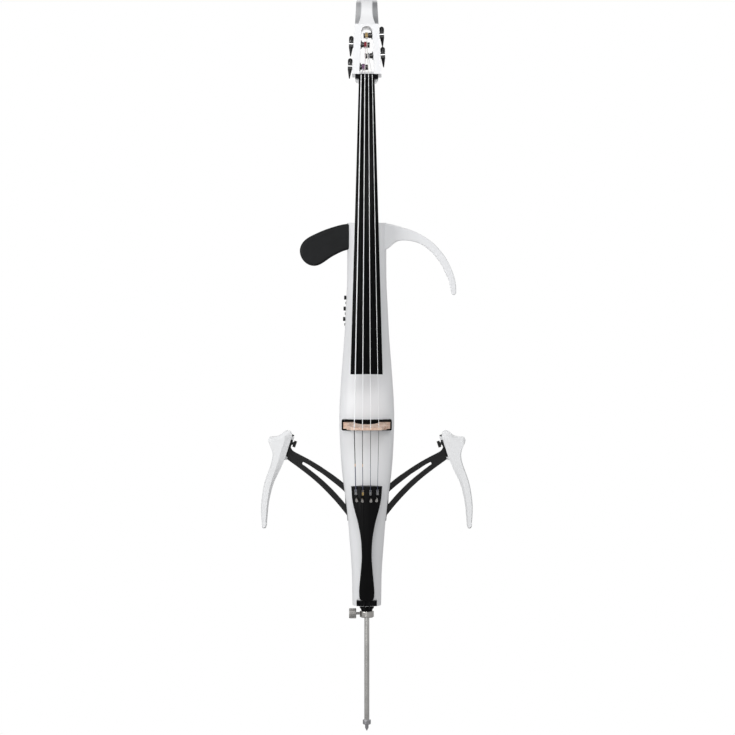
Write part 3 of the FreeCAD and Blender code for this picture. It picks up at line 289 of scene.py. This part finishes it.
shell_black = moulded("shell_soft_black", (0.0055, 0.0062, 0.0070), (0.5, 0.62), 2400, 0.00003, 0.22)
base_black = moulded("bridge_frame_black", (0.0025, 0.0025, 0.003), (0.35, 0.5), 2100, 0.00003, 0.08)
tail_black = moulded("tailpiece_satin_black", (0.003, 0.003, 0.0033), (0.3, 0.42), 1500, 0.00004, 0.1)
plug_black = moulded("plug_black", (0.003, 0.003, 0.0033), (0.3, 0.45), 1900, 0.00003, 0.1)
knob_black = moulded("control_black", (0.012, 0.012, 0.013), (0.35, 0.5), 2600, 0.00002)
arm_black = moulded("knee_arm_powder_black", (0.006, 0.006, 0.0065), (0.34, 0.48), 1300, 0.00005, 0.3)
panel_black = moulded("panel_black", (0.015, 0.015, 0.016), (0.45, 0.58), 2600)
give(shell_black, "upper_left_shell")
give(base_black, "bridge_base")
give(tail_black, "tailpiece")
give(plug_black, "end_plug")
give(knob_black, "control_knob_1", "control_knob_2", "control_knob_3")
give(arm_black, "knee_arm_left", "knee_arm_right", "claw_lock_left", "claw_lock_right", "arm_hinge_brackets")
give(panel_black, "control_panel")
button_grey = moulded("button_grey", (0.27, 0.275, 0.28), (0.45, 0.6), 2400)
give(button_grey, "push_button_1", "push_button_2", "push_button_3")

nickel = drawn_metal("bright_nickel", (0.60, 0.585, 0.56), (0.1, 0.22), (1, 1, 1), 0.00001, 500)
knurled = drawn_metal("knurled_nickel", (0.42, 0.41, 0.395), (0.42, 0.55), (1, 1, 1), 0.00001, 500)
steel_tube = drawn_metal("tube_steel", (0.55, 0.55, 0.56), (0.3, 0.45), (30, 30, 1))
rod_steel = drawn_metal("rod_brushed_steel", (0.72, 0.71, 0.69), (0.16, 0.26), (50, 50, 1.5), 0.00002, 40)
tip_steel = drawn_metal("tip_steel", (0.52, 0.52, 0.54), (0.25, 0.4), (1, 1, 60), 0.00003, 60)
post_steel = drawn_metal("post_dark_chrome", (0.075, 0.074, 0.073), (0.12, 0.24), (40, 1, 1), 0.00001, 60)
pin_steel = drawn_metal("pin_black_steel", (0.05, 0.05, 0.052), (0.3, 0.45), (1, 1, 30), 0.00002, 60)
screw_steel = drawn_metal("screw_black_steel", (0.10, 0.10, 0.105), (0.3, 0.42), (40, 1, 40), 0.00002, 60)
give(knurled, "endpin_clamp_screw")
give(nickel, "endpin_collar", "output_jacks",
     *["fine_tuner_screw_" + s for s in "cgda"])
give(steel_tube, "endpin_tube")
give(rod_steel, "endpin_rod")
give(tip_steel, "endpin_tip")
give(post_steel, *["tuner_post_" + s for s in "gdac"])
give(pin_steel, "claw_pin_left", "claw_pin_right")
give(screw_steel, "cover_screws")


KNOB_RING_TOP = 0.0060
HOUSING_BAND_AT, HOUSING_BAND_HALF = -0.0006, 0.0006


def tuner_knob(name):
    """Glossy black barrel with a grey metal ring at its foot."""
    joint = JOINTS["tuner_knob_%s_turn" % name]
    s = Shader("tuner_knob_" + name, (0.004, 0.004, 0.005), 0.16, Specular_IOR_Level=0.35)
    reach = s.along(joint["pos_m"], joint["axis"])
    above, below = s.maths("GREATER_THAN", reach, 0.0), s.maths("LESS_THAN", reach, KNOB_RING_TOP)
    ring = s.maths("MULTIPLY", above, below)
    black = s.mix(s.noise(60, 3), (0.003, 0.003, 0.0035), (0.006, 0.006, 0.0065))
    s.colour(s.mix(ring, black, (0.10, 0.10, 0.10)))
    s.feed(s.surface.inputs["Metallic"], ring)
    s.rough(s.noise(120, 4), 0.12, 0.24)
    s.bump(s.noise(1400, 2), 0.00001, 0.4)
    return s.material


for string in "gdac":
    give(tuner_knob(string), "tuner_knob_" + string)


def tuner_body():
    """Glossy black gear housings, each with a thin bright band level with its post."""
    s = Shader("tuner_glossy_black", (0.003, 0.003, 0.0033), 0.2, Specular_IOR_Level=0.25)
    band = 0.0
    side = s.maths("GREATER_THAN", s.xyz()[0], 0.0)
    for string in "gdac":
        post = JOINTS["tuner_post_%s_turn" % string]
        knob = JOINTS["tuner_knob_%s_turn" % string]
        level = s.along(post["pos_m"], knob["axis"])
        off = s.maths("ABSOLUTE", s.maths("SUBTRACT", level, HOUSING_BAND_AT))
        here = s.maths("LESS_THAN", off, HOUSING_BAND_HALF)
        right = s.maths("COMPARE", side, 1.0 if post["pos_m"][0] > 0 else 0.0)
        band = s.maths("MAXIMUM", band, s.maths("MULTIPLY", here, right))
    black = s.mix(s.noise(60, 3), (0.002, 0.002, 0.0025), (0.006, 0.006, 0.0065))
    s.colour(s.mix(band, black, (0.45, 0.45, 0.45)))
    s.feed(s.surface.inputs["Metallic"], band)
    s.rough(s.noise(120, 4), 0.14, 0.26)
    s.bump(s.noise(1400, 2), 0.00001, 0.4)
    return s.material


give(tuner_body(), "tuner_housings")


def figured_maple():
    """Bare maple seen on its face: pink tan ground, cross figure and darker flecks."""
    s = Shader("bridge_figured_maple", (0.72, 0.52, 0.40), 0.5, Coat_Weight=0.15, Coat_Roughness=0.3)
    figure = s.noise(90, 4, s.stretched((1, 0.35, 1)), 0.6, 1.2)
    fleck = s.noise(900, 3, s.stretched((1, 0.12, 1)))
    ground = s.ramp(
        figure,
        (0.30, (0.50, 0.30, 0.21)),
        (0.46, (0.74, 0.52, 0.41)),
        (0.58, (0.83, 0.64, 0.52)),
        (0.75, (0.62, 0.42, 0.31)),
    )
    s.colour(s.mix(s.span(fleck, 0.52, 0.68, 0, 0.55), ground, (0.36, 0.20, 0.13)))
    s.rough(s.noise(200, 4), 0.42, 0.6)
    s.bump(fleck, 0.00006, 0.5)
    return s.material


give(figured_maple(), "bridge")


def lever_metal():
    """Plated levers: the second one is warm brass, the others are grey nickel."""
    s = Shader("lever_plated", (0.5, 0.5, 0.5), 0.3, 1.0)
    x = s.xyz()[0]
    gold = s.maths("MULTIPLY", s.maths("GREATER_THAN", x, -0.012), s.maths("LESS_THAN", x, 0.0))
    haze = s.noise(300, 4)
    s.colour(s.mix(gold, s.mix(haze, (0.16, 0.16, 0.165), (0.42, 0.42, 0.43)),
                   s.mix(haze, (0.42, 0.28, 0.09), (0.70, 0.50, 0.20))))
    s.rough(haze, 0.22, 0.4)
    s.bump(s.noise(1200, 3), 0.00001, 0.5)
    return s.material


give(lever_metal(), "fine_tuner_levers")

SILK = {
    "c": (0.30, 0.16, 0.30),
    "g": (0.33, 0.035, 0.05),
    "d": (0.55, 0.38, 0.16),
    "a": (0.42, 0.42, 0.44),
}
TAIL_SILK = (0.085, 0.092, 0.15)
NUT_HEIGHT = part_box("nut")[1].z + 0.0015
BRIDGE_HEIGHT, TAIL_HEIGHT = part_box("bridge")[0].z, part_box("tailpiece")[1].z
# the tail silk covers this share of the way to the bridge, and ends in a short whipping
SILK_TOP = TAIL_HEIGHT + 0.36 * (BRIDGE_HEIGHT - TAIL_HEIGHT)
WHIPPING = 0.006
COIL_REACH = 0.0052


def string_material(name):
    """Flat wound metal over the speaking length, with painted shade darkening it behind the bridge, silk
    thread at both ends.
    """
    s = Shader("string_" + name, (0.62, 0.63, 0.66), 0.3, 1.0)
    z = s.xyz()[2]
    winding = Vector(JOINTS["tuner_post_%s_turn" % name]["pos_m"])
    peg = s.maths("GREATER_THAN", z, NUT_HEIGHT)
    coil = s.maths("GREATER_THAN", z, winding.z - COIL_REACH)
    tail = s.maths("LESS_THAN", z, SILK_TOP)
    below, above = s.maths("LESS_THAN", z, SILK_TOP + WHIPPING), s.maths("GREATER_THAN", z, SILK_TOP)
    whipping = s.maths("MULTIPLY", below, above)
    silk = s.maths("MAXIMUM", peg, s.maths("MAXIMUM", tail, whipping))
    thread = s.bands(900, s.stretched(turn=(18, 0, 0)))
    tail_tone = s.mix(thread, scaled(TAIL_SILK, 0.6), scaled(TAIL_SILK, 1.25))
    peg_tone = s.mix(thread, scaled(SILK[name], 0.55), scaled(SILK[name], 1.2))
    # off the post, the silk runs thin and light down to the nut
    faded = tuple(0.62 + 0.25 * c for c in SILK[name])
    peg_tone = s.mix(coil, faded, peg_tone)
    steel = s.mix(s.noise(80, 3, s.stretched((1, 1, 0.2))), (0.80, 0.81, 0.83), (0.95, 0.955, 0.96))
    # painted shade: behind the bridge the steel is painted dark grey, standing in for the dim floor it
    # reflects there
    afterlength_painted_shade = s.maths("LESS_THAN", z, BRIDGE_HEIGHT + 0.003)
    steel = s.mix(afterlength_painted_shade, steel, (0.13, 0.13, 0.14))
    tone = s.mix(tail, s.mix(peg, steel, peg_tone), tail_tone)
    warm = (0.62, 0.36, 0.19) if name in "cg" else (0.12, 0.125, 0.18)
    s.colour(s.mix(whipping, tone, warm))
    s.feed(s.surface.inputs["Metallic"], s.span(silk, 0, 1, 0.75, 0))
    s.feed(s.surface.inputs["Roughness"], s.span(silk, 0, 1, 0.28, 0.72))
    wrap = s.mix(silk, s.bands(2600), thread)
    s.bump(wrap, 0.00008, 0.6)
    return s.material


for string in "cgda":
    give(string_material(string), "string_" + string)


def braided_cord():
    """Matt black braid: two sets of strands that cross."""
    s = Shader("tail_cord_braid", (0.006, 0.006, 0.007), 0.7, Specular_IOR_Level=0.1)
    weave = s.maths("MAXIMUM", *[s.bands(420, s.stretched(turn=(0, lean, 0))) for lean in (35, -35)])
    s.colour(s.mix(weave, (0.002, 0.002, 0.0025), (0.009, 0.009, 0.010)))
    s.rough(s.noise(400, 3), 0.6, 0.8)
    s.bump(weave, 0.0002, 0.8)
    return s.material


give(braided_cord(), "tail_cord")


def pickup_film():
    """Thin strip with printed bands, under the bridge's feet."""
    s = Shader("piezo_film", (0.10, 0.08, 0.05), 0.35, 0.4)
    strips = s.bands(180, direction="X")
    s.colour(s.mix(strips, (0.05, 0.045, 0.04), (0.35, 0.24, 0.10)))
    s.rough(s.noise(500, 3), 0.3, 0.5)
    s.bump(strips, 0.00005, 0.5)
    return s.material


give(pickup_film(), "piezo_pickup")


def circuit_green():
    """Green laminate with copper tracks; the raised parts are black and grey."""
    s = Shader("circuit_laminate", (0.02, 0.13, 0.05), 0.35, Coat_Weight=0.3)
    depth = s.xyz()[1]
    tracks = s.add("ShaderNodeTexBrick")
    s.feed(tracks.inputs["Vector"], s.stretched(turn=(90, 0, 0)))
    tracks.inputs["Scale"].default_value = 110
    tracks.inputs["Mortar Size"].default_value = 0.035
    tracks.inputs["Color1"].default_value = (0.012, 0.10, 0.035, 1)
    tracks.inputs["Color2"].default_value = (0.018, 0.14, 0.05, 1)
    tracks.inputs["Mortar"].default_value = (0.05, 0.26, 0.09, 1)
    raised = s.maths("GREATER_THAN", depth, 0.0077)
    chips = s.mix(s.noise(150, 3), (0.015, 0.015, 0.016), (0.06, 0.06, 0.065))
    s.colour(s.mix(raised, tracks.outputs["Color"], chips))
    s.rough(s.noise(300, 3), 0.3, 0.5)
    s.bump(tracks.outputs["Fac"], 0.00004, 0.5)
    return s.material


give(circuit_green(), "circuit_board")


def cell_sleeve():
    """Plain two-tone battery sleeve with bare metal ends."""
    s = Shader("battery_sleeve", (0.02, 0.02, 0.025), 0.35)
    low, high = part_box("batteries")
    z = s.xyz()[2]
    foot, button = s.maths("LESS_THAN", z, low.z + 0.0008), s.maths("GREATER_THAN", z, high.z - 0.0026)
    ends = s.maths("MAXIMUM", foot, button)
    copper = s.maths("GREATER_THAN", z, low.z + 0.036)
    wrap = s.mix(copper, (0.012, 0.012, 0.014), (0.52, 0.25, 0.09))
    worn = s.mix(s.span(s.noise(60, 3), 0.3, 0.7, 0, 0.12), wrap, (0.1, 0.1, 0.1))
    s.colour(s.mix(ends, worn, (0.7, 0.7, 0.7)))
    s.feed(s.surface.inputs["Metallic"], s.maths("MAXIMUM", ends, s.maths("MULTIPLY", copper, 0.6)))
    s.rough(s.noise(200, 3), 0.25, 0.4)
    s.bump(s.noise(900, 2), 0.00002, 0.4)
    return s.material


give(cell_sleeve(), "batteries")

# ------------------------------------------------------------------ softened edges
soften(0.0010, "pegbox")
soften(0.0008, "neck", "tailpiece")
soften(0.0007, "bridge_base", "nut", "saddle", "rear_cover", "battery_door")
soften(0.0006, "knee_arm_left", "knee_arm_right", "arm_hinge_brackets", "tuner_housings")
soften(0.0005, "bridge", "fingerboard")
soften(0.0003, "fine_tuner_levers", "claw_lock_left", "claw_lock_right", "endpin_tip",
       *["control_knob_%d" % i for i in (1, 2, 3)], *["push_button_%d" % i for i in (1, 2, 3)],
       *["fine_tuner_screw_" + s for s in "cgda"], *["tuner_knob_" + s for s in "gdac"])

# ------------------------------------------------------------------ light, floor and camera
ROOM_BEHIND_CAMERA, ROOM_BEYOND = 0.54, 0.50


def studio():
    """A white sweep for the camera; the room that lights the object is dimmer, most of all beyond it."""
    world = bpy.data.worlds.new("studio")
    scene.world = world
    world.use_nodes = True
    tree = world.node_tree
    tree.nodes.clear()
    seen, direction, split, blend, output = [
        tree.nodes.new("ShaderNode" + kind)
        for kind in ("LightPath", "TexCoord", "SeparateXYZ", "MixShader", "OutputWorld")
    ]
    room, sweep = [tree.nodes.new("ShaderNodeBackground") for _ in range(2)]
    for node in (room, sweep):
        node.inputs["Color"].default_value = (1, 1, 1, 1)
    sweep.inputs["Strength"].default_value = 1.0
    fade = tree.nodes.new("ShaderNodeMapRange")
    ends = (-0.95, 0.1, ROOM_BEHIND_CAMERA, ROOM_BEYOND)
    for key, number in zip(("From Min", "From Max", "To Min", "To Max"), ends):
        fade.inputs[key].default_value = number
    for source, target in (
        (direction.outputs["Generated"], split.inputs[0]),
        (split.outputs["Y"], fade.inputs["Value"]),
        (fade.outputs[0], room.inputs["Strength"]),
        (seen.outputs["Is Camera Ray"], blend.inputs[0]),
        (room.outputs[0], blend.inputs[1]),
        (sweep.outputs[0], blend.inputs[2]),
        (blend.outputs[0], output.inputs[0]),
    ):
        tree.links.new(source, target)


def area_light(name, at, aim, size, power):
    data = bpy.data.lights.new(name, "AREA")
    data.shape = "RECTANGLE"
    data.size, data.size_y = size
    data.energy = power
    light = bpy.data.objects.new(name, data)
    scene.collection.objects.link(light)
    light.location = at
    light.rotation_euler = (Vector(aim) - Vector(at)).to_track_quat("-Z", "Y").to_euler()


studio()
area_light("key_left", (-2.1, -2.2, 1.05), (0, 0, 0.85), (1.7, 1.7), 37)
area_light("front_strip", (-0.9, -4.6, 0.25), (0, 0, 0.6), (0.35, 1.6), 5)
area_light("overhead", (0.5, -3.4, 2.6), (0, 0, 0.85), (2.0, 1.2), 35)
area_light("back_soft", (0.2, 4.6, 1.3), (0, 0, 0.8), (1.6, 2.4), 14)

FLOOR_RADIUS = 1.2
FLOOR_SIDES = 96
FLOOR_GAP = 0.0003


def pale_floor():
    """A round pale floor under the spike, as white as the sweep behind it."""
    s = Shader("floor_pale", (0.5, 0.5, 0.5), 0.9)
    s.colour(s.mix(s.noise(3, 2), (0.45, 0.45, 0.45), (0.5, 0.5, 0.5)))
    glow = s.add("ShaderNodeEmission")
    glow.inputs["Strength"].default_value = 1.0
    blend = s.add("ShaderNodeMixShader")
    s.feed(blend.inputs[0], s.add("ShaderNodeLightPath").outputs["Is Camera Ray"])
    s.feed(blend.inputs[1], s.surface.outputs[0])
    s.feed(blend.inputs[2], glow.outputs[0])
    s.feed(s.tree.nodes["Material Output"].inputs["Surface"], blend.outputs[0])
    shape = bpy.data.meshes.new("floor")
    turns = [i * math.tau / FLOOR_SIDES for i in range(FLOOR_SIDES)]
    rim = [(FLOOR_RADIUS * math.cos(turn), FLOOR_RADIUS * math.sin(turn), 0) for turn in turns]
    shape.from_pydata(rim, [], [range(FLOOR_SIDES)])
    shape.materials.append(s.material)
    floor = bpy.data.objects.new("floor", shape)
    floor.location.z = CAD_BOX[0][2] - FLOOR_GAP
    scene.collection.objects.link(floor)


pale_floor()

camera = bpy.data.objects.new("camera", bpy.data.cameras.new("camera"))
scene.collection.objects.link(camera)
# seen from 4.5 m, a little above the middle, as in the photograph
camera.data.lens = 112.3
camera.data.sensor_width = 36
camera.location = (0.023, -4.5, 0.95)
aim = Vector((0.00135, 0, 0.7203))
camera.rotation_euler = (aim - camera.location).to_track_quat("-Z", "Y").to_euler()
scene.camera = camera
scene.view_settings.view_transform = "Standard"
